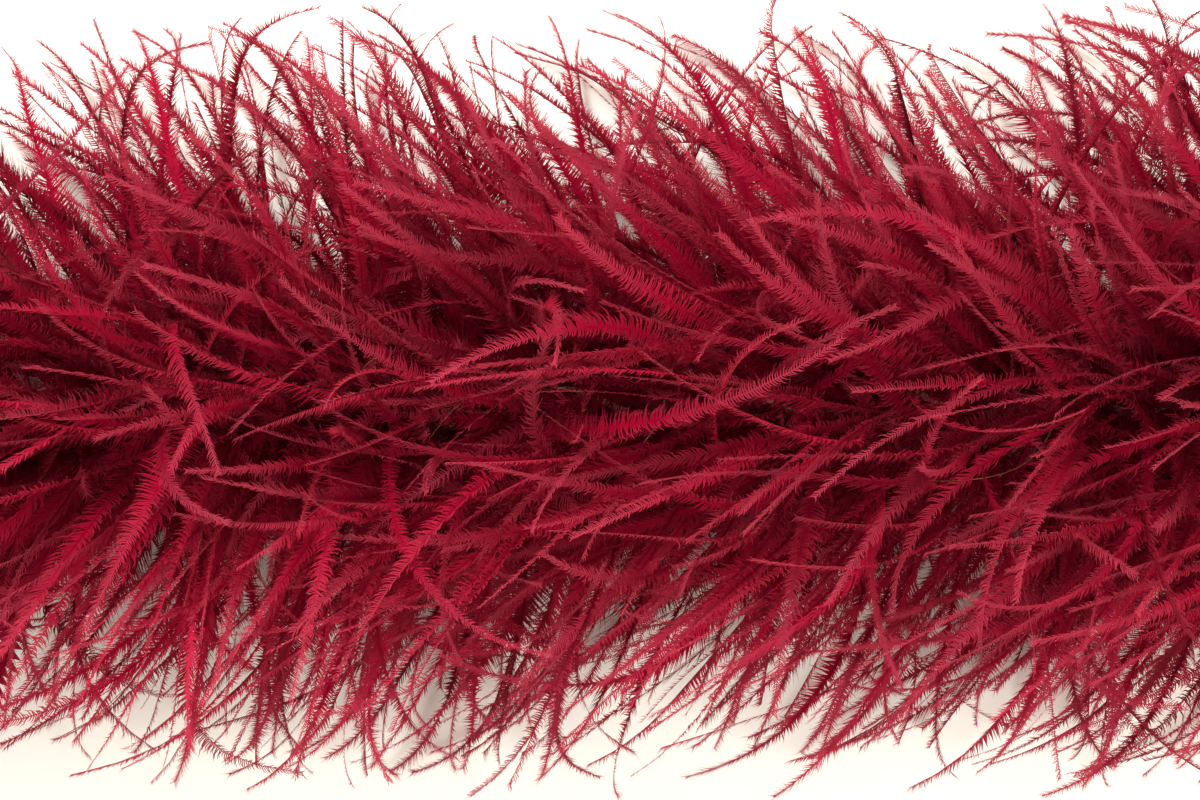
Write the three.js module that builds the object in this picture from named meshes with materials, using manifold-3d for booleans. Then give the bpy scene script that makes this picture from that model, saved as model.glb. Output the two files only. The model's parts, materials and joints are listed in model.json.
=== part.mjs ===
// Ostrich feather boa, lying straight on a flat surface. Millimetres, +X along the boa, +Y across it, +Z up.
// The origin is on the surface, under the middle of the boa.
//
// A cotton core cord runs the whole length. Round it goes a strip of quill that still carries its flues,
// and a thread binds the strip down. The boa is limp, so it is cut into links that turn on upright axes.
import * as THREE from "three";
import { mergeVertices } from "three/addons/utils/BufferGeometryUtils.js";
import Module from "manifold-3d";

const wasm = await Module();
wasm.setup();

// Driving dimensions.
const BOA_LENGTH = 1830; // two yards, over the tips of the flues
const FLUFF_WIDTH = 196;
const FLUFF_HEIGHT = 132;
const CORE_HEIGHT = 52; // the cord's axis above the surface
const END_TUFT = 44; // how far the flues reach past the cord at each end
const LINKS = 13;
const BEND_DEGREES = 35; // each joint's limit, to either side
const CORD_RADIUS = 2.2;
const LAID_GAP = 0.35; // between pieces that are wound on one another

const LINK_LENGTH = (BOA_LENGTH - 2 * END_TUFT) / LINKS;
const MIDDLE_LINK = (LINKS + 1) / 2;

// Half the gap that a part of this reach from the axis needs at a joint, so that neighbours never meet.
const BEND_MARGIN = 1.06;
const jointGap = (reach) => reach * BEND_MARGIN * Math.tan(THREE.MathUtils.degToRad(BEND_DEGREES / 2)) + 0.1;

const DYED_FLUE = new THREE.MeshStandardMaterial({ color: 0x9c142e, roughness: 0.8, metalness: 0 });
const DYED_CORD = new THREE.MeshStandardMaterial({ color: 0x5c0a1c, roughness: 0.9, metalness: 0 });
const DYED_THREAD = new THREE.MeshStandardMaterial({ color: 0x7c1026, roughness: 0.7, metalness: 0 });
const BARE_QUILL = new THREE.MeshStandardMaterial({ color: 0xa8703c, roughness: 0.5, metalness: 0 });

const boa = new THREE.Group();

function addPiece(name, geometry, material) {
  const mesh = new THREE.Mesh(geometry, material);
  mesh.name = name;
  boa.add(mesh);
}

// A section drawn in the YZ plane and drawn out along X, from one X to another.
function drawnOut(section, fromX, toX, steps) {
  const options = { depth: toX - fromX, steps, bevelEnabled: false, curveSegments: 6 };
  const geometry = new THREE.ExtrudeGeometry(section, options);
  const alongX = new THREE.Matrix4().makeBasis(
    new THREE.Vector3(0, 1, 0),
    new THREE.Vector3(0, 0, 1),
    new THREE.Vector3(1, 0, 0),
  );
  return geometry.applyMatrix4(alongX).translate(fromX, 0, 0);
}

// Turns a geometry round the X axis by an angle that grows along X, one turn in each pitch.
function wound(geometry, pitch) {
  const places = geometry.getAttribute("position");
  const axis = new THREE.Vector3(1, 0, 0);
  const point = new THREE.Vector3();
  for (let i = 0; i < places.count; i++) {
    point.fromBufferAttribute(places, i);
    point.applyAxisAngle(axis, (2 * Math.PI * point.x) / pitch);
    places.setXYZ(i, point.x, point.y, point.z);
  }
  return geometry;
}

function toSolid(geometry) {
  const bare = geometry.clone();
  bare.deleteAttribute("normal");
  bare.deleteAttribute("uv");
  const merged = mergeVertices(bare, 1e-4);
  const triVerts = new Uint32Array(merged.index.array);
  const vertProperties = merged.getAttribute("position").array;
  return new wasm.Manifold(new wasm.Mesh({ numProp: 3, vertProperties, triVerts }));
}

function toGeometry(solid) {
  const mesh = solid.getMesh();
  const geometry = new THREE.BufferGeometry();
  geometry.setAttribute("position", new THREE.BufferAttribute(mesh.vertProperties, 3));
  geometry.setIndex(new THREE.BufferAttribute(mesh.triVerts, 1));
  geometry.computeVertexNormals();
  return geometry;
}

// The core cord: one length of twisted cotton in each link.
const CORD_SIDES = 12;

function coreCord(fromX, toX) {
  const cord = new THREE.CylinderGeometry(CORD_RADIUS, CORD_RADIUS, toX - fromX, CORD_SIDES);
  return cord.rotateZ(-Math.PI / 2).translate((fromX + toX) / 2, 0, CORE_HEIGHT);
}

// The quill strip: the split rib of the plume, wound round the cord like a ribbon.
const STRIP_THICKNESS = 0.6;
const STRIP_WIDTH = 1.8;
const STRIP_PITCH = 44;
const STRIP_STEPS_A_TURN = 10;
const STRIP_SAG = 0.4; // how far the flats of a strip wound in steps dip towards the cord
const STRIP_INSIDE = CORD_RADIUS / Math.cos(Math.PI / STRIP_STEPS_A_TURN) + STRIP_SAG + LAID_GAP;
const STRIP_OUTSIDE = Math.hypot(STRIP_INSIDE + STRIP_THICKNESS, STRIP_WIDTH / 2);

function quillStrip(fromX, toX) {
  const section = new THREE.Shape();
  section.moveTo(-STRIP_WIDTH / 2, STRIP_INSIDE);
  section.lineTo(STRIP_WIDTH / 2, STRIP_INSIDE);
  section.lineTo(STRIP_WIDTH / 2, STRIP_INSIDE + STRIP_THICKNESS);
  section.lineTo(-STRIP_WIDTH / 2, STRIP_INSIDE + STRIP_THICKNESS);
  const steps = Math.round((STRIP_STEPS_A_TURN * (toX - fromX)) / STRIP_PITCH);
  return wound(drawnOut(section, fromX, toX, steps), STRIP_PITCH).translate(0, 0, CORE_HEIGHT);
}

// The binding thread: wound the other way, over the strip.
const THREAD_RADIUS = 0.45;
const THREAD_PITCH = -36;
const THREAD_STEPS_A_TURN = 9;
const THREAD_AXIS = STRIP_OUTSIDE / Math.cos(Math.PI / THREAD_STEPS_A_TURN) + LAID_GAP + THREAD_RADIUS;
const THREAD_OUTSIDE = THREAD_AXIS + THREAD_RADIUS;

function bindingThread(fromX, toX) {
  const section = new THREE.Shape();
  section.moveTo(0, THREAD_AXIS - THREAD_RADIUS);
  section.lineTo(THREAD_RADIUS, THREAD_AXIS);
  section.lineTo(0, THREAD_AXIS + THREAD_RADIUS);
  section.lineTo(-THREAD_RADIUS, THREAD_AXIS);
  const steps = Math.round((THREAD_STEPS_A_TURN * (toX - fromX)) / Math.abs(THREAD_PITCH));
  return wound(drawnOut(section, fromX, toX, steps), THREAD_PITCH).translate(0, 0, CORE_HEIGHT);
}

// The flues of one link: fans of flues stand out from the cord, and those below are pressed into a flat mat.
const BORE_RADIUS = 10;
const ROOT_RADIUS = 15; // where one fan leaves the next
const FANS = 12;
const LOWEST_FAN = -35; // degrees from level
const MAT_HALF_WIDTH = 46;
const MAT_THICKNESS = 4;
const MAT_NECK = 5; // half the width of the web that joins the mat to the cord's flues
const FAN_STEP = (180 - 2 * LOWEST_FAN) / (FANS - 1);

// A point round the cord: the angle is in degrees from level, and the point is at a distance from the cord.
function roundCord(angle, distance) {
  const turn = THREE.MathUtils.degToRad(angle);
  return new THREE.Vector2(distance * Math.cos(turn), CORE_HEIGHT + distance * Math.sin(turn));
}

// How far the fluff reaches from the cord, on a flattened round that is fuller above than below.
function fluffReach(angle) {
  const turn = THREE.MathUtils.degToRad(angle);
  const height = Math.sin(turn) > 0 ? FLUFF_HEIGHT - CORE_HEIGHT : CORE_HEIGHT;
  return 1 / Math.hypot(Math.cos(turn) / (FLUFF_WIDTH / 2), Math.sin(turn) / height);
}

function fluffSection() {
  const outline = [
    new THREE.Vector2(-MAT_HALF_WIDTH, 0),
    new THREE.Vector2(MAT_HALF_WIDTH, 0),
    new THREE.Vector2(MAT_HALF_WIDTH, MAT_THICKNESS),
    new THREE.Vector2(MAT_NECK, MAT_THICKNESS),
    roundCord(LOWEST_FAN - FAN_STEP / 2, ROOT_RADIUS),
  ];
  for (let fan = 0; fan < FANS; fan++) {
    const angle = LOWEST_FAN + fan * FAN_STEP;
    outline.push(roundCord(angle, fluffReach(angle)));
    outline.push(roundCord(angle + FAN_STEP / 2, ROOT_RADIUS));
  }
  outline.push(new THREE.Vector2(-MAT_NECK, MAT_THICKNESS));
  outline.push(new THREE.Vector2(-MAT_HALF_WIDTH, MAT_THICKNESS));
  const section = new THREE.Shape(outline);
  section.holes.push(new THREE.Path().absarc(0, CORE_HEIGHT, BORE_RADIUS, 0, 2 * Math.PI, true));
  return section;
}

// Seen from above, a link's fluff is cut back to a blunt point at each joint, and rounded off at a free end.
const POINT_SLOPE = jointGap(FLUFF_WIDTH / 2) / (FLUFF_WIDTH / 2);
const POINT_GAP = 0.4;
const FREE_END_CHAMFER = 46;

function fluffPlan(fromX, toX, freeStart, freeEnd) {
  const side = FLUFF_WIDTH / 2 + 1;
  const point = side * POINT_SLOPE + POINT_GAP;
  const plan = new THREE.Shape();
  if (freeStart) {
    plan.moveTo(fromX + FREE_END_CHAMFER, side);
    plan.lineTo(fromX, side - FREE_END_CHAMFER);
    plan.lineTo(fromX, FREE_END_CHAMFER - side);
    plan.lineTo(fromX + FREE_END_CHAMFER, -side);
  } else {
    plan.moveTo(fromX + point, side);
    plan.lineTo(fromX + POINT_GAP, 0);
    plan.lineTo(fromX + point, -side);
  }
  if (freeEnd) {
    plan.lineTo(toX - FREE_END_CHAMFER, -side);
    plan.lineTo(toX, FREE_END_CHAMFER - side);
    plan.lineTo(toX, side - FREE_END_CHAMFER);
    plan.lineTo(toX - FREE_END_CHAMFER, side);
  } else {
    plan.lineTo(toX - point, -side);
    plan.lineTo(toX - POINT_GAP, 0);
    plan.lineTo(toX - point, side);
  }
  return plan;
}

function flues(fromX, toX, freeStart, freeEnd) {
  const fans = toSolid(drawnOut(fluffSection(), fromX, toX, 1));
  const options = { depth: FLUFF_HEIGHT + 2, bevelEnabled: false };
  const plan = new THREE.ExtrudeGeometry(fluffPlan(fromX, toX, freeStart, freeEnd), options);
  return toGeometry(fans.intersect(toSolid(plan.translate(0, 0, -1))));
}

// The ends: the cord's last turns are whipped with thread, knotted, and left as a loop to hang the boa by.
const WHIPPING_LENGTH = 16;
const WHIPPING_WALL = 1;
const KNOT_RADIUS = 4.6;
const KNOT_LENGTH = 9;
const LOOP_CORD_RADIUS = 1.2;
const LOOP_HALF_WIDTH = 6;
const LOOP_LENGTH = 24;

// A turned shape about the boa's axis: the profile gives distances from the axis and places along it.
function turned(profile, x, outwards) {
  const geometry = new THREE.LatheGeometry(profile, 14);
  return geometry.rotateZ(outwards > 0 ? -Math.PI / 2 : Math.PI / 2).translate(x, 0, CORE_HEIGHT);
}

function whipping(endX, outwards) {
  const inside = CORD_RADIUS + LAID_GAP;
  const outside = inside + WHIPPING_WALL;
  const profile = [
    new THREE.Vector2(inside, -WHIPPING_LENGTH),
    new THREE.Vector2(outside, 1 - WHIPPING_LENGTH),
    new THREE.Vector2(outside, -1),
    new THREE.Vector2(inside, 0),
    new THREE.Vector2(inside, -WHIPPING_LENGTH),
  ];
  return turned(profile, endX, outwards);
}

function endKnot(endX, outwards) {
  const profile = [];
  const rings = 8;
  for (let ring = 0; ring <= rings; ring++) {
    const turn = (Math.PI * ring) / rings;
    const radius = ring === 0 || ring === rings ? 0 : KNOT_RADIUS * Math.sin(turn);
    profile.push(new THREE.Vector2(radius, (KNOT_LENGTH / 2) * (1 - Math.cos(turn))));
  }
  return turned(profile, endX + outwards * LAID_GAP, outwards);
}

function endLoop(endX, outwards) {
  const start = endX + outwards * (KNOT_LENGTH + LAID_GAP + 1);
  const place = (along, across) => new THREE.Vector3(start + outwards * along, across, CORE_HEIGHT);
  const route = new THREE.CatmullRomCurve3([
    place(0, -1.7),
    place(LOOP_LENGTH * 0.2, -3),
    place(LOOP_LENGTH * 0.55, -LOOP_HALF_WIDTH),
    place(LOOP_LENGTH * 0.88, -LOOP_HALF_WIDTH * 0.7),
    place(LOOP_LENGTH, 0),
    place(LOOP_LENGTH * 0.88, LOOP_HALF_WIDTH * 0.7),
    place(LOOP_LENGTH * 0.55, LOOP_HALF_WIDTH),
    place(LOOP_LENGTH * 0.2, 3),
    place(0, 1.7),
  ]);
  const section = new THREE.Shape().absarc(0, 0, LOOP_CORD_RADIUS, 0, 2 * Math.PI);
  const options = { extrudePath: route, steps: 22, curveSegments: 4, bevelEnabled: false };
  return new THREE.ExtrudeGeometry(section, options);
}

// The links, from the end that the flues lean towards to the other.
const STRIP_START = 20; // the strip and the thread begin past the whipping

for (let link = 1; link <= LINKS; link++) {
  const number = String(link).padStart(2, "0");
  const middle = (link - MIDDLE_LINK) * LINK_LENGTH;
  const isFirst = link === 1;
  const isLast = link === LINKS;

  const span = (gap, free) => [
    middle - LINK_LENGTH / 2 + (isFirst ? free : gap),
    middle + LINK_LENGTH / 2 - (isLast ? free : gap),
  ];

  addPiece(`core_cord_${number}`, coreCord(...span(jointGap(CORD_RADIUS), 0)), DYED_CORD);
  addPiece(`quill_strip_${number}`, quillStrip(...span(jointGap(STRIP_OUTSIDE), STRIP_START)), BARE_QUILL);
  addPiece(`binding_thread_${number}`, bindingThread(...span(jointGap(THREAD_OUTSIDE), STRIP_START)), DYED_THREAD);
  addPiece(`flues_${number}`, flues(...span(0, -END_TUFT), isFirst, isLast), DYED_FLUE);
}

for (const [side, outwards] of [["first", -1], ["last", 1]]) {
  const endX = (outwards * LINKS * LINK_LENGTH) / 2;
  addPiece(`whipping_${side}_end`, whipping(endX, outwards), DYED_THREAD);
  addPiece(`knot_${side}_end`, endKnot(endX, outwards), DYED_CORD);
  addPiece(`loop_${side}_end`, endLoop(endX, outwards), DYED_CORD);
}

export default boa;
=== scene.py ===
import json

import bpy
import numpy as np
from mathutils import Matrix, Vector

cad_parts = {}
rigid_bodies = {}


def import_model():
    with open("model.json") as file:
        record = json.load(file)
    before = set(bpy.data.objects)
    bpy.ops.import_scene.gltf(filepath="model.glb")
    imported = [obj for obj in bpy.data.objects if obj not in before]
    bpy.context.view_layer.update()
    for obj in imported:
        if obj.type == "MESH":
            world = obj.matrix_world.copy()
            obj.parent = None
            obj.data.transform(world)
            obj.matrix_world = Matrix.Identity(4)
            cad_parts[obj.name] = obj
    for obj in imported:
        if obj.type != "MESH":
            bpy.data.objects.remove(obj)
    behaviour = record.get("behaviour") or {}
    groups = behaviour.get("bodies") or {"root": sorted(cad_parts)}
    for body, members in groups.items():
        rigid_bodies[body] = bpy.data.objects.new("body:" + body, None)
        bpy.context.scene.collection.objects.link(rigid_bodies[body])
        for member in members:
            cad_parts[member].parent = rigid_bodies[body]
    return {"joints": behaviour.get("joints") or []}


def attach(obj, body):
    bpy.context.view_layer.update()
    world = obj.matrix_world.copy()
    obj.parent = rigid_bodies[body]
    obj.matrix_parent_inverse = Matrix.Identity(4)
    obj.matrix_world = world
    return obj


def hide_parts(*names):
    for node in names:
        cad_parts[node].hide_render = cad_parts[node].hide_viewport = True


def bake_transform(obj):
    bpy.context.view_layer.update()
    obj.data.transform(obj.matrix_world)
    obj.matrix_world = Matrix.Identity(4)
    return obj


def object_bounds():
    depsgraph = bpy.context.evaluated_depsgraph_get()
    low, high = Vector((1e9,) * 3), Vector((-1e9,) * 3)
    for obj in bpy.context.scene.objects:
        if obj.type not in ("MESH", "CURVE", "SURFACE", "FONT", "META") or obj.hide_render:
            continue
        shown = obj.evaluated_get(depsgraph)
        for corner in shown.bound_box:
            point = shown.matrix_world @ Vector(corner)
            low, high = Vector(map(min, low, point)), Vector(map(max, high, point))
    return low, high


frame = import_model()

bpy.ops.object.select_all(action="DESELECT")
cad_low, cad_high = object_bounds()

# ---------------------------------------------------------------- camera
# The boa is seen from straight above, with its cord running from left to right.
VIEW_WIDTH = 0.310
VIEW_LEVEL = 0.085  # the height above the surface at which that width is seen
CAMERA_HEIGHT = 1.25

camera_data = bpy.data.cameras.new("camera")
camera_data.sensor_width = 36.0
camera_data.lens = camera_data.sensor_width * (CAMERA_HEIGHT - VIEW_LEVEL) / VIEW_WIDTH
camera = bpy.data.objects.new("camera", camera_data)
camera.location = (0.0, 0.0, CAMERA_HEIGHT)
bpy.context.scene.collection.objects.link(camera)
bpy.context.scene.camera = camera

# ---------------------------------------------------------------- flues: where each one grows
# Flues are the soft barbs of an ostrich plume. They grow from quill strips wound on the cord in plies, so
# they stand out all round it, mostly combed back towards the first end, with short down in the middle.
# Primitives can't give thousands of fringed hairs that each take their own curve, so these are mesh code.
joint_places = sorted(joint["pos_m"][0] for joint in frame["joints"])
LINK_LENGTH = joint_places[1] - joint_places[0]
CORE_HEIGHT = frame["joints"][0]["pos_m"][2]
CORD_END = joint_places[-1] + LINK_LENGTH
HALF_WIDTH = cad_high.y
TOP = cad_high.z

PLIES = 3
FLUES_A_LINK = 690
WINDING_PITCH = 0.0131
ROOT_RADIUS = 0.0065
FLUE_LENGTHS = (0.068, 0.118, 0.144)  # the shortest, the commonest and the longest
DOWN_LENGTHS = (0.022, 0.058)
DOWN_SHARE = 0.37
LAID_BACK_SHARE = 0.16
STRAY_SHARE = 0.14
BARE_SHARE = 0.015

rng = np.random.default_rng(20)


def unit(vectors):
    """The vectors at length 1."""
    return vectors / np.maximum(np.linalg.norm(vectors, axis=-1, keepdims=True), 1e-9)


def smooth(t):
    """A smooth step from 0 to 1 as t goes from 0 to 1."""
    t = np.clip(t, 0, 1)
    return t * t * (3 - 2 * t)


def wander(places, step, seed):
    """Smooth random values, about -1 to 1, that change over each step along the places."""
    values = np.random.default_rng(seed).normal(0, 0.6, 4000)
    at = (places - places.min()) / step + 1
    before = np.floor(at).astype(int)
    share = smooth(at - before)
    return values[before % 4000] * (1 - share) + values[(before + 1) % 4000] * share


count = int(FLUES_A_LINK * 2 * CORD_END / LINK_LENGTH)
root_x = np.sort(rng.uniform(-CORD_END, CORD_END, count))
turn = root_x / WINDING_PITCH * 2 * np.pi + rng.normal(0, 0.6, count)
underneath = np.sin(turn) < -0.75
turn = np.where(underneath & (rng.random(count) < 0.4), -turn, turn)
out = np.stack([np.zeros(count), np.cos(turn), np.sin(turn)], -1)
around = np.stack([np.zeros(count), -np.sin(turn), np.cos(turn)], -1)
back = np.tile([-1.0, 0.0, 0.0], (count, 1))

# Neighbours along the winding lie nearly the same way, so the flues gather into locks with gaps between.
order = root_x / WINDING_PITCH
fullness = 1 + 0.05 * np.sin((root_x - 0.02) * 2 * np.pi / 0.52)
length = rng.triangular(*FLUE_LENGTHS, count) * fullness
down = rng.random(count) < DOWN_SHARE
length[down] = rng.uniform(*DOWN_LENGTHS, down.sum())
sweep = 0.60 + 0.30 * wander(order, 0.15, 1) + 0.25 * wander(root_x, 0.03, 2) + rng.normal(0, 0.16, count)
laid_back = rng.random(count) < LAID_BACK_SHARE
sweep[laid_back] += 0.55
swirl = 0.45 * wander(order, 0.17, 3) + 0.40 * wander(root_x, 0.022, 4) + rng.normal(0, 0.22, count)
sweep[down] += rng.normal(0, 0.6, down.sum())
swirl[down] += rng.normal(0, 1.1, down.sum())
curl = 0.85 * wander(order, 0.2, 5) + rng.normal(0, 0.65, count)
strays = (rng.random(count) < STRAY_SHARE) & ~down
curl[strays] = rng.uniform(1.0, 3.2, strays.sum()) * rng.choice([-1, 1], strays.sum())
sweep[strays] = rng.uniform(-0.5, 1.4, strays.sum())
swirl[strays] = rng.normal(0, 0.9, strays.sum())
curl_axis = unit(out + rng.normal(0, 0.5, (count, 3)))
droop = 0.40 + rng.normal(0, 0.12, count)
scatter = rng.normal(0, 1, (count, 3)) * [0.006, 0.0045, 0.0035]
first_way = unit(out + 0.25 * back + 0.8 * swirl[:, None] * around + rng.normal(0, 0.40, (count, 3)))
near_last_end = smooth((root_x - CORD_END + 0.07) / 0.07)
sweep = np.clip(sweep * (1 - 1.25 * near_last_end), -0.9, 1.35)
tone = np.clip(0.5 + 0.26 * wander(order, 0.25, 8) + rng.normal(0, 0.22, count), 0.02, 0.98)
roll = rng.normal(0, 0.75, count) + np.where(rng.random(count) < 0.15, 1.2, 0.0)
twist = rng.normal(0, 0.8, count)
bare = (rng.random(count) < BARE_SHARE) & ~down
length[bare] *= 0.5
folded = np.where(rng.random(count) < 0.35, rng.uniform(0.6, 1.15, count), rng.uniform(0.0, 0.4, count))
ply = np.arange(count) % PLIES

# ---------------------------------------------------------------- flues: the curve of each shaft
# Each shaft leaves the quill outwards, bends back as it was combed, droops under its own weight and curls.
# The surface under the boa turns the lowest ones outwards and presses them flat.
FLOOR_CLEARANCE = 0.0006


def soft_limit(values, start, end):
    """Values past start are drawn in so that none passes end."""
    over = np.maximum(values - start, 0)
    return np.where(values > start, start + (end - start) * (1 - np.exp(-over / (end - start))), values)


def turned_about(vectors, axes, angles):
    """Vectors turned about unit axes by angles."""
    cosine = np.cos(angles)[..., None]
    sine = np.sin(angles)[..., None]
    along_axis = np.sum(vectors * axes, -1, keepdims=True) * axes
    return vectors * cosine + np.cross(axes, vectors) * sine + along_axis * (1 - cosine)


def shaft_lines(which, stations):
    """The shafts of these flues as points, and the directions along, across and out of each there."""
    t = np.linspace(0, 1, stations + 1)[None, :, None]
    angle = sweep[which][:, None]
    combed = out[which] * np.cos(angle) + back[which] * np.sin(angle)
    combed = combed + swirl[which][:, None] * around[which]
    bent = smooth(t * 1.3)
    heading = first_way[which][:, None] * (1 - bent) + unit(combed)[:, None] * bent
    heading[..., 2:] -= droop[which][:, None, None] * t ** 1.5
    curled = curl[which][:, None] * t[..., 0] ** 1.6
    heading = turned_about(unit(heading), curl_axis[which][:, None], curled)
    step = (length[which] / stations)[:, None, None]
    points = np.cumsum(heading * step, axis=1) - heading[:, :1] * step
    root = np.stack([root_x[which], np.zeros(len(which)), np.full(len(which), CORE_HEIGHT)], -1)
    points += (root + out[which] * ROOT_RADIUS + scatter[which])[:, None]

    lowest = FLOOR_CLEARANCE + 0.006 * tone[which][:, None]
    pressed = lowest - soft_limit(lowest - points[..., 2], -0.012, 0.0)
    lost = np.maximum(pressed - points[..., 2], 0)
    points[..., 2] = soft_limit(pressed, TOP - 0.022, TOP + 0.010)
    outwards = np.sign(out[which][:, 1:2]) * np.sqrt(np.abs(out[which][:, 1:2]))
    points[..., 1] += 0.75 * lost * outwards
    points[..., 0] -= 0.55 * lost
    reach = soft_limit(np.abs(points[..., 1]), HALF_WIDTH - 0.014, HALF_WIDTH + 0.011)
    points[..., 1] = np.sign(points[..., 1]) * reach

    along = unit(np.gradient(points, axis=1))
    face = unit(out[which] + 0.35 * back[which])[:, None] + np.array([0, 0, 0.5])
    face = unit(face - np.sum(face * along, -1, keepdims=True) * along)
    across = np.cross(along, face)
    rolled = (roll[which][:, None] + twist[which][:, None] * t[..., 0])[..., None]
    turned_across = across * np.cos(rolled) + face * np.sin(rolled)
    turned_face = face * np.cos(rolled) - across * np.sin(rolled)
    return points, along, turned_across, turned_face


# ---------------------------------------------------------------- flues: barbules and shaft
# A fringe of barbules grows forward from both sides of the shaft, longest a third of the way out. Real ones
# are too fine to draw: here each is a blade, curved on top of the boa, plain elsewhere, coarse far along.
BARBULE_LENGTH = 0.0047
BARBULE_WIDTH = 0.00042
TOP_SPACING = 0.00065
FINE_SPACING = 0.00042
COARSE_SPACING = 0.00210
SHAFT_WIDTH = 0.00050
LOWEST_POINT = 0.0002
TONES = 8  # depths of dye; the last is kept for shafts that have lost their barbules


def leg(along, across, face, side, lean, lift, reach):
    """The step that leaves a shaft to one side, leaning forward, lifted off its plane and this long."""
    outward = side * across * np.cos(lift)[..., None] + face * np.sin(lift)[..., None]
    way = along * np.cos(lean)[..., None] + outward * np.sin(lean)[..., None]
    return way * reach[..., None]


def flue_mesh(which, spacing, curved, local):
    """Vertices, triangles and map coordinates of these flues."""
    stations = int(length[which].mean() / spacing)
    points, along, across, face = shaft_lines(which, stations)
    flues = len(which)
    shape = (flues, stations)
    coarse = spacing == COARSE_SPACING
    t = np.linspace(0, 1, stations + 1)
    middle = (t[:-1] + t[1:]) / 2
    full = smooth((middle - 0.05) / 0.2) * (1 - (0.55 if curved else 0.45) * smooth((middle - 0.45) / 0.5))
    full = BARBULE_LENGTH * np.maximum(full, 0.12) * (1.3 if coarse else 1.0)
    forward = np.radians(46 - 14 * smooth((middle - 0.7) / 0.3))
    base = 1.0 if curved else 1.2 if coarse else 1.6
    share = (base * (1 - (0.45 if curved else 0.25) * smooth((middle - 0.5) / 0.4)))[None, :, None]
    foot = points[:, :-1]
    heel = foot + (points[:, 1:] - foot) * share
    blocks = [foot, heel]
    u = [middle, middle]
    v = [np.full(2 * stations, 0.18)]
    clumps = np.cumsum(local.normal(0, 0.10, shape), axis=1)
    clumps -= np.linspace(0, 1, stations) * clumps[:, -1:]
    fluffier = np.where(down[which], 1.5, 1.0) * np.where(bare[which], 0.05, 1.0)
    low = (out[which, 2] < -0.3)[:, None]
    for side in (-1, 1):
        reach = full * (1 + local.normal(0, 0.20, shape)) * (0.70 + 0.60 * local.random((flues, 1)) ** 1.5)
        reach = reach * fluffier[:, None]
        near_root = 1 - smooth((middle - 0.45) / 0.3)
        reach = reach * np.where(low, 1 + (0.4 if coarse else 0.9) * near_root, 1.0)
        lean = forward + local.normal(0, 0.12, shape) + local.normal(0, 0.1, (flues, 1)) + 0.35 * clumps
        lift = local.normal(0, 0.17, shape) + folded[which][:, None] + local.normal(0, 0.2, (flues, 1))
        axes = (along[:, :-1], across[:, :-1], face[:, :-1], side)
        if curved:
            knee = foot + leg(*axes, lean + 0.18, lift, 0.60 * reach)
            width = (along[:, :-1] * 0.8 - side * 0.6 * across[:, :-1]) * BARBULE_WIDTH * share
            tip = knee + leg(*axes, lean - 0.30, lift + 0.35, 0.46 * reach)
            blocks += [knee, knee + width, tip]
            u += [middle, middle, middle]
            v += [np.full(2 * stations, 0.6), np.full(stations, 0.95)]
        else:
            blocks += [foot + leg(*axes, lean, lift, reach)]
            u += [middle]
            v += [np.full(stations, 0.92)]
    marks = np.unique(np.linspace(0, stations, 11).round().astype(int))
    width = SHAFT_WIDTH * (1 - 0.6 * t[marks])[None, :, None]
    width = width * np.where(bare[which], 1.1, 1.0)[:, None, None]
    lifted = points[:, marks] + face[:, marks] * 0.00012
    blocks += [lifted - across[:, marks] * width / 2, lifted + across[:, marks] * width / 2]
    u += [t[marks], t[marks]]
    v += [np.full(2 * len(marks), 0.04)]
    vertices = np.concatenate(blocks, axis=1)
    vertices[..., 2] = np.maximum(vertices[..., 2], LOWEST_POINT)

    first = np.arange(stations)
    faces = []
    for side in (0, 1):
        heels = stations + first
        if curved:
            knees = (2 + 3 * side) * stations + first
            edges = knees + stations
            rows = [(first, heels, knees), (heels, edges, knees), (knees, edges, edges + stations)]
        else:
            rows = [(first, heels, (2 + side) * stations + first)]
        for row in rows:
            faces.append(np.stack(row if side else row[::-1], -1))
    rungs = vertices.shape[1] - 2 * len(marks) + np.arange(len(marks) - 1)
    faces.append(np.stack([rungs, rungs + 1, rungs + len(marks)], -1))
    faces.append(np.stack([rungs + 1, rungs + len(marks) + 1, rungs + len(marks)], -1))
    offsets = np.arange(flues) * vertices.shape[1]
    triangles = (np.concatenate(faces)[None] + offsets[:, None, None]).reshape(-1, 3)

    # The map: u runs along the flue, and v holds a band for each depth of dye, from shaft to barbule tips.
    u = np.clip(np.concatenate(u), 0.004, 0.996)
    band = np.where(bare[which], TONES - 1, np.floor(tone[which] * (TONES - 1)))
    v = (band[:, None] + np.concatenate(v)[None]) / TONES
    uv = np.stack([np.broadcast_to(u, v.shape), v], -1)
    return vertices.reshape(-1, 3), triangles, uv.reshape(-1, 2)


def make_piece(name, meshes):
    """One object from several lists of vertices, triangles and map coordinates."""
    starts = np.cumsum([0] + [len(part[0]) for part in meshes])
    vertices = np.concatenate([part[0] for part in meshes])
    triangles = np.concatenate([part[1] + start for part, start in zip(meshes, starts)])
    uv = np.concatenate([part[2] for part in meshes])
    mesh = bpy.data.meshes.new(name)
    mesh.vertices.add(len(vertices))
    mesh.vertices.foreach_set("co", vertices.astype(np.float32).ravel())
    mesh.loops.add(triangles.size)
    mesh.loops.foreach_set("vertex_index", triangles.astype(np.int32).ravel())
    mesh.polygons.add(len(triangles))
    mesh.polygons.foreach_set("loop_start", np.arange(0, triangles.size, 3, dtype=np.int32))
    layer = mesh.uv_layers.new(name="OFBake")
    layer.uv.foreach_set("vector", uv[triangles.ravel()].astype(np.float32).ravel())
    mesh.update(calc_edges=True)
    piece = bpy.data.objects.new(name, mesh)
    bpy.context.scene.collection.objects.link(piece)
    return piece


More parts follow.
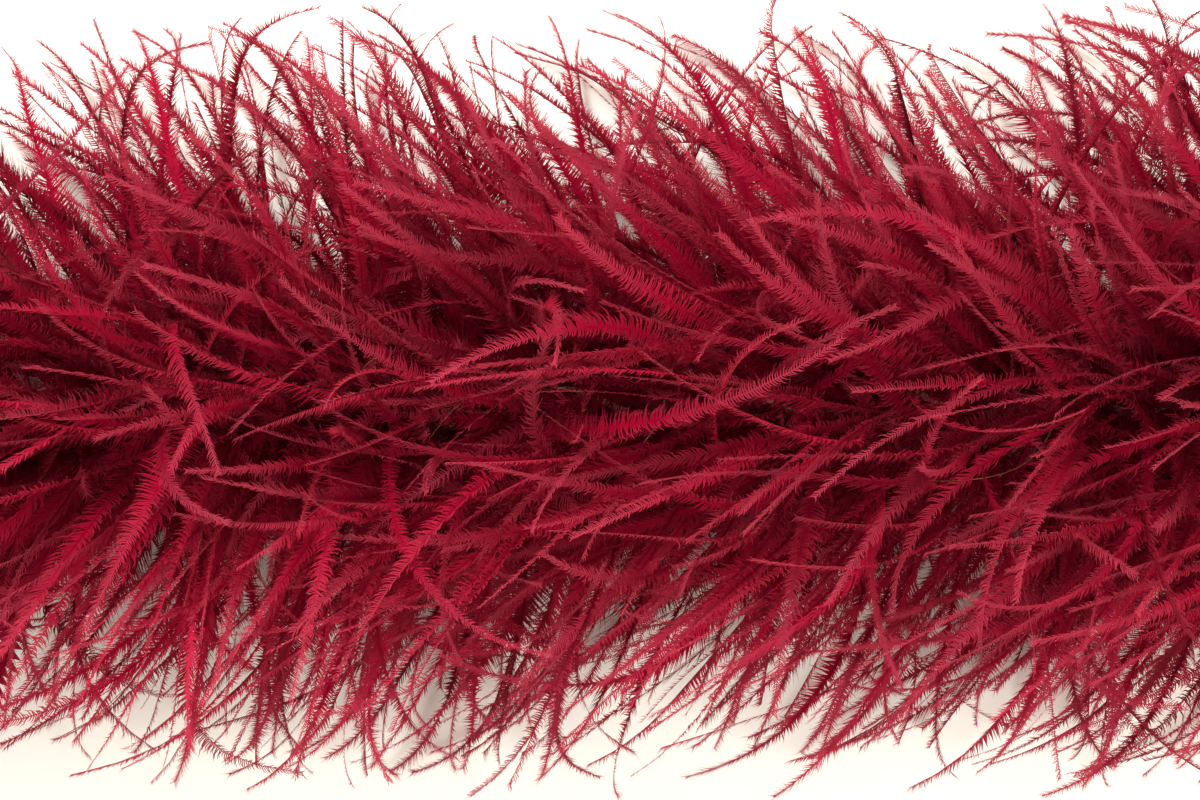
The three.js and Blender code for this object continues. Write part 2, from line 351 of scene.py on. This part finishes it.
# ---------------------------------------------------------------- flues: dye, painted shade and painted sheen
# Ostrich flues, natural keratin, dyed in the piece. The dye takes deep in the shafts. Near the quill the
# colour darkens, partly deeper dye and partly painted shade deep in the fluff. The thin barbules are paler
# further out, partly paler dye and partly a painted sheen highlight, and the tips are paled more as painted
# light shining through them. They are matt and let light through. A bare shaft shows tan.
def linear(hex_colour):
    """An sRGB hex colour as linear red, green, blue and alpha."""
    values = [int(hex_colour[i:i + 2], 16) / 255 for i in (1, 3, 5)]
    return [v / 12.92 if v <= 0.04045 else ((v + 0.055) / 1.055) ** 2.4 for v in values] + [1.0]


def add_node(tree, kind, settings=None, inputs=None, links=None):
    """Adds one shader node, with its settings, socket values and links from (node, output) pairs."""
    node = tree.nodes.new(kind)
    for key, value in (settings or {}).items():
        setattr(node, key, value)
    for key, value in (inputs or {}).items():
        node.inputs[key].default_value = value
    for key, (source, output) in (links or {}).items():
        tree.links.new(source.outputs[output], node.inputs[key])
    return node


def new_material(name):
    """An empty node material, and its tree."""
    material = bpy.data.materials.new(name)
    material.use_nodes = True
    material.node_tree.nodes.clear()
    return material, material.node_tree


flue_material, tree = new_material("dyed_ostrich_flue")
flue_map = add_node(tree, "ShaderNodeUVMap", {"uv_map": "OFBake"})
parts = add_node(tree, "ShaderNodeSeparateXYZ", links={"Vector": (flue_map, 0)})
scaled = add_node(tree, "ShaderNodeMath", {"operation": "MULTIPLY"}, {1: TONES}, {0: (parts, "Y")})
band = add_node(tree, "ShaderNodeMath", {"operation": "FLOOR"}, links={0: (scaled, 0)})
spread = add_node(tree, "ShaderNodeMath", {"operation": "FRACT"}, links={0: (scaled, 0)})
depth = add_node(tree, "ShaderNodeMath", {"operation": "DIVIDE"}, {1: TONES - 2}, {0: (band, 0)})
lost_barbules = add_node(tree, "ShaderNodeMath", {"operation": "GREATER_THAN"}, {1: TONES - 1.5},
                         {0: (band, 0)})
dyes = add_node(tree, "ShaderNodeValToRGB", links={"Fac": (depth, 0)})
dyes.color_ramp.elements[0].color = linear("#5c0015")
dyes.color_ramp.elements[1].color = linear("#a30c30")
dyes.color_ramp.elements.new(0.5).color = linear("#820222")
# Painted shade mixed with deeper dye: the flues darken towards the quill, deep in the fluff, along with the
# darker shafts.
near_quill = add_node(tree, "ShaderNodeMapRange", inputs={
    "From Min": 0.0, "From Max": 0.5, "To Min": 0.7, "To Max": 0.0}, links={"Value": (parts, "X")})
in_shaft = add_node(tree, "ShaderNodeMapRange", inputs={
    "From Min": 0.1, "From Max": 0.3, "To Min": 0.5, "To Max": 0.0}, links={"Value": (spread, 0)})
darker = add_node(tree, "ShaderNodeMath", {"operation": "MAXIMUM"},
                  links={0: (near_quill, 0), 1: (in_shaft, 0)})
# Painted sheen mixed with paler dye: the barbules pale towards their tips and further out along the flue.
in_barbule = add_node(tree, "ShaderNodeMapRange", inputs={
    "From Min": 0.3, "From Max": 0.95, "To Min": 0.0, "To Max": 0.55}, links={"Value": (spread, 0)})
outer = add_node(tree, "ShaderNodeMapRange", inputs={
    "From Min": 0.1, "From Max": 0.9, "To Min": 0.25, "To Max": 1.0}, links={"Value": (parts, "X")})
at_tip = add_node(tree, "ShaderNodeMapRange", inputs={
    "From Min": 0.6, "From Max": 1.0, "To Min": 0.0, "To Max": 0.6}, links={"Value": (parts, "X")})
paler = add_node(tree, "ShaderNodeMath", {"operation": "MULTIPLY"}, links={0: (in_barbule, 0), 1: (outer, 0)})
deep = add_node(tree, "ShaderNodeMix", {"data_type": "RGBA"}, {7: linear("#4a0010")},
                {0: (darker, 0), 6: (dyes, 0)})
dye_and_painted_sheen = add_node(tree, "ShaderNodeMix", {"data_type": "RGBA"}, {7: linear("#b02c45")},
                {0: (paler, 0), 6: (deep, 2)})
# Painted light: the flue tips are paled as if lit through from the pale floor.
tips_painted_lit_through = add_node(tree, "ShaderNodeMix", {"data_type": "RGBA"}, {7: linear("#bd4458")},
                 {0: (at_tip, 0), 6: (dye_and_painted_sheen, 2)})
finished = add_node(tree, "ShaderNodeMix", {"data_type": "RGBA"}, {7: linear("#ad7458")},
                    {0: (lost_barbules, 0), 6: (tips_painted_lit_through, 2)})
shader = add_node(tree, "ShaderNodeBsdfPrincipled", inputs={
    "Roughness": 0.75, "Specular IOR Level": 0.02, "Sheen Weight": 0.02, "Sheen Roughness": 0.5,
    "Sheen Tint": linear("#ff8f9c")}, links={"Base Color": (finished, 2)})
lit_through = add_node(tree, "ShaderNodeMix", {"data_type": "RGBA"}, {0: 0.28, 7: linear("#ec5468")},
                       {6: (finished, 2)})
glow = add_node(tree, "ShaderNodeBsdfTranslucent", links={"Color": (lit_through, 2)})
thin = add_node(tree, "ShaderNodeMapRange", inputs={
    "From Min": 0.2, "From Max": 0.95, "To Min": 0.12, "To Max": 0.48}, links={"Value": (spread, 0)})
thinner = add_node(tree, "ShaderNodeMath", {"operation": "MULTIPLY_ADD"}, {1: 0.30},
                   {0: (at_tip, 0), 2: (thin, 0)})
mixed = add_node(tree, "ShaderNodeMixShader", links={"Fac": (thinner, 0), 1: (shader, 0), 2: (glow, 0)})
add_node(tree, "ShaderNodeOutputMaterial", links={"Surface": (mixed, 0)})

# ---------------------------------------------------------------- flues: the pieces
# Each ply is one unbroken run of flues. It is cut at the middle of every link, so each piece spans one
# joint, and the two ends of the boa ride on their own links. The barbules are fine along the stretch in view.
FINE_START = -0.215
FINE_END = 0.205

middles = root_x - 0.35 * length
fine = (middles > FINE_START) & (middles < FINE_END)
upper = out[:, 2] > 0.5
grades = (
    (fine & upper, TOP_SPACING, True),
    (fine & ~upper, FINE_SPACING, False),
    (~fine, COARSE_SPACING, False),
)
size_group = np.digitize(length, (0.065, 0.088, 0.108))
cuts = [-9.0] + [x - LINK_LENGTH / 2 for x in joint_places] + [joint_places[-1] + LINK_LENGTH / 2, 9.0]
for index in range(len(cuts) - 1):
    here = (middles >= cuts[index]) & (middles < cuts[index + 1])
    for number in range(PLIES):
        local = np.random.default_rng([index, number])
        meshes = []
        for group in range(4):
            for chosen, spacing, curved in grades:
                which = np.flatnonzero(here & (ply == number) & (size_group == group) & chosen)
                if len(which):
                    meshes.append(flue_mesh(which, spacing, curved, local))
        name = f"flues_ply{number + 1}"
        if index == 0:
            piece = make_piece(f"{name}_first_end", meshes)
            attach(piece, "link_01")
            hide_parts("flues_01")
        elif index == len(cuts) - 2:
            piece = make_piece(f"{name}_last_end", meshes)
            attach(piece, "link_13")
            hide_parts("flues_13")
        else:
            piece = make_piece(f"{name}_bend_{index:02d}", meshes)
            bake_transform(piece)
            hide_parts(f"flues_{index:02d}")
        piece.data.materials.append(flue_material)

# ---------------------------------------------------------------- cord, knots and loops
# The core is a laid cotton cord, dyed with the boa, knotted past the last flues and ended in a small loop.
# Cotton is matt and furry: its fibres stand in tufts about 0.6 mm across, and the dye shades off over 9 mm.
cord_material, tree = new_material("dyed_cotton_cord")
place = add_node(tree, "ShaderNodeTexCoord")
fibres = add_node(tree, "ShaderNodeTexNoise", inputs={"Scale": 1 / 0.0006, "Detail": 3.0, "Roughness": 0.6},
                  links={"Vector": (place, "Object")})
uneven = add_node(tree, "ShaderNodeTexNoise", inputs={"Scale": 1 / 0.009, "Detail": 2.0},
                  links={"Vector": (place, "Object")})
both = add_node(tree, "ShaderNodeMath", {"operation": "MULTIPLY_ADD"}, {1: 0.5},
                {0: (fibres, 0), 2: (uneven, 0)})
taken = add_node(tree, "ShaderNodeMapRange", inputs={"From Min": 0.5, "From Max": 1.0},
                 links={"Value": (both, 0)})
colours = add_node(tree, "ShaderNodeValToRGB", links={"Fac": (taken, 0)})
colours.color_ramp.elements[0].color = linear("#3f0210")
colours.color_ramp.elements[1].color = linear("#8c1430")
ridges = add_node(tree, "ShaderNodeBump", inputs={"Strength": 0.7, "Distance": 0.0002},
                  links={"Height": (fibres, 0)})
shader = add_node(tree, "ShaderNodeBsdfPrincipled", inputs={"Roughness": 0.9, "Specular IOR Level": 0.1},
                  links={"Base Color": (colours, 0), "Normal": (ridges, 0)})
add_node(tree, "ShaderNodeOutputMaterial", links={"Surface": (shader, 0)})

# ---------------------------------------------------------------- quill strips
# The quill of each plume is split, pared to a thin strip and wound on the cord. Its keratin is smooth and a
# little glossy, with a grain 0.5 mm apart along it, and takes the dye only in patches about 6 mm across.
quill_material, tree = new_material("bare_quill")
place = add_node(tree, "ShaderNodeTexCoord")
drawn = add_node(tree, "ShaderNodeMapping", inputs={"Scale": (0.12, 1.0, 1.0)},
                 links={"Vector": (place, "Object")})
grain = add_node(tree, "ShaderNodeTexNoise", inputs={"Scale": 1 / 0.0005, "Detail": 2.0},
                 links={"Vector": (drawn, 0)})
patches = add_node(tree, "ShaderNodeTexNoise", inputs={"Scale": 1 / 0.006, "Detail": 3.0},
                   links={"Vector": (place, "Object")})
both = add_node(tree, "ShaderNodeMath", {"operation": "MULTIPLY_ADD"}, {1: 0.4},
                {0: (grain, 0), 2: (patches, 0)})
undyed = add_node(tree, "ShaderNodeMapRange", inputs={"From Min": 0.45, "From Max": 0.95},
                  links={"Value": (both, 0)})
colours = add_node(tree, "ShaderNodeValToRGB", links={"Fac": (undyed, 0)})
colours.color_ramp.elements[0].color = linear("#7a1d28")
colours.color_ramp.elements[1].color = linear("#c98f74")
ridges = add_node(tree, "ShaderNodeBump", inputs={"Strength": 0.4, "Distance": 0.0001},
                  links={"Height": (grain, 0)})
shader = add_node(tree, "ShaderNodeBsdfPrincipled", inputs={"Roughness": 0.42, "Specular IOR Level": 0.4},
                  links={"Base Color": (colours, 0), "Normal": (ridges, 0)})
add_node(tree, "ShaderNodeOutputMaterial", links={"Surface": (shader, 0)})

# ---------------------------------------------------------------- thread
# Dyed sewing thread is wound over the strips the other way to bind them, and whipped tight near each end.
# It is twisted, so its strands show as slanting ridges about 0.3 mm apart, with a slight lustre.
thread_material, tree = new_material("dyed_thread")
place = add_node(tree, "ShaderNodeTexCoord")
strands = add_node(tree, "ShaderNodeTexWave", {"wave_type": "BANDS", "bands_direction": "DIAGONAL"},
                   {"Scale": 1 / 0.0009, "Distortion": 1.5}, {"Vector": (place, "Object")})
colours = add_node(tree, "ShaderNodeValToRGB", links={"Fac": (strands, 0)})
colours.color_ramp.elements[0].color = linear("#2c010a")
colours.color_ramp.elements[1].color = linear("#74102a")
ridges = add_node(tree, "ShaderNodeBump", inputs={"Strength": 0.5, "Distance": 0.0001},
                  links={"Height": (strands, 0)})
shader = add_node(tree, "ShaderNodeBsdfPrincipled", inputs={"Roughness": 0.6, "Specular IOR Level": 0.3},
                  links={"Base Color": (colours, 0), "Normal": (ridges, 0)})
add_node(tree, "ShaderNodeOutputMaterial", links={"Surface": (shader, 0)})

finishes = {
    "core_cord": cord_material,
    "knot": cord_material,
    "loop": cord_material,
    "quill_strip": quill_material,
    "binding_thread": thread_material,
    "whipping": thread_material,
}
for thing in bpy.data.objects:
    for start, finish in finishes.items():
        if thing.name.startswith(start):
            for slot in thing.material_slots:
                slot.material = finish

# ---------------------------------------------------------------- floor and light
# A plain pale painted board, matt, lit softly from all round, with one large light high at the back left and
# a larger one at the front right.
floor_material, tree = new_material("pale_floor")
shader = add_node(tree, "ShaderNodeBsdfPrincipled", inputs={
    "Base Color": linear("#faf8ee"), "Roughness": 0.8})
add_node(tree, "ShaderNodeOutputMaterial", links={"Surface": (shader, 0)})
bpy.ops.mesh.primitive_plane_add(size=30)
floor = bpy.context.object
floor.name = "floor"
floor.data.materials.append(floor_material)

world = bpy.data.worlds.new("studio")
bpy.context.scene.world = world
world.use_nodes = True
world.node_tree.nodes["Background"].inputs["Color"].default_value = linear("#fffdf6")
world.node_tree.nodes["Background"].inputs["Strength"].default_value = 1.0

lights = (
    ("back_light", (-1.1, 1.5, 1.5), 0.9, 85),
    ("front_light", (1.8, -1.1, 1.3), 1.6, 58),
)
for name, place, size, power in lights:
    light = bpy.data.lights.new(name, "AREA")
    light.energy = power
    light.size = size
    lamp = bpy.data.objects.new(name, light)
    lamp.location = place
    lamp.rotation_euler = (-Vector(place)).to_track_quat("-Z", "Y").to_euler()
    bpy.context.scene.collection.objects.link(lamp)

bpy.context.scene.view_settings.view_transform = "Standard"
bpy.context.view_layer.update()
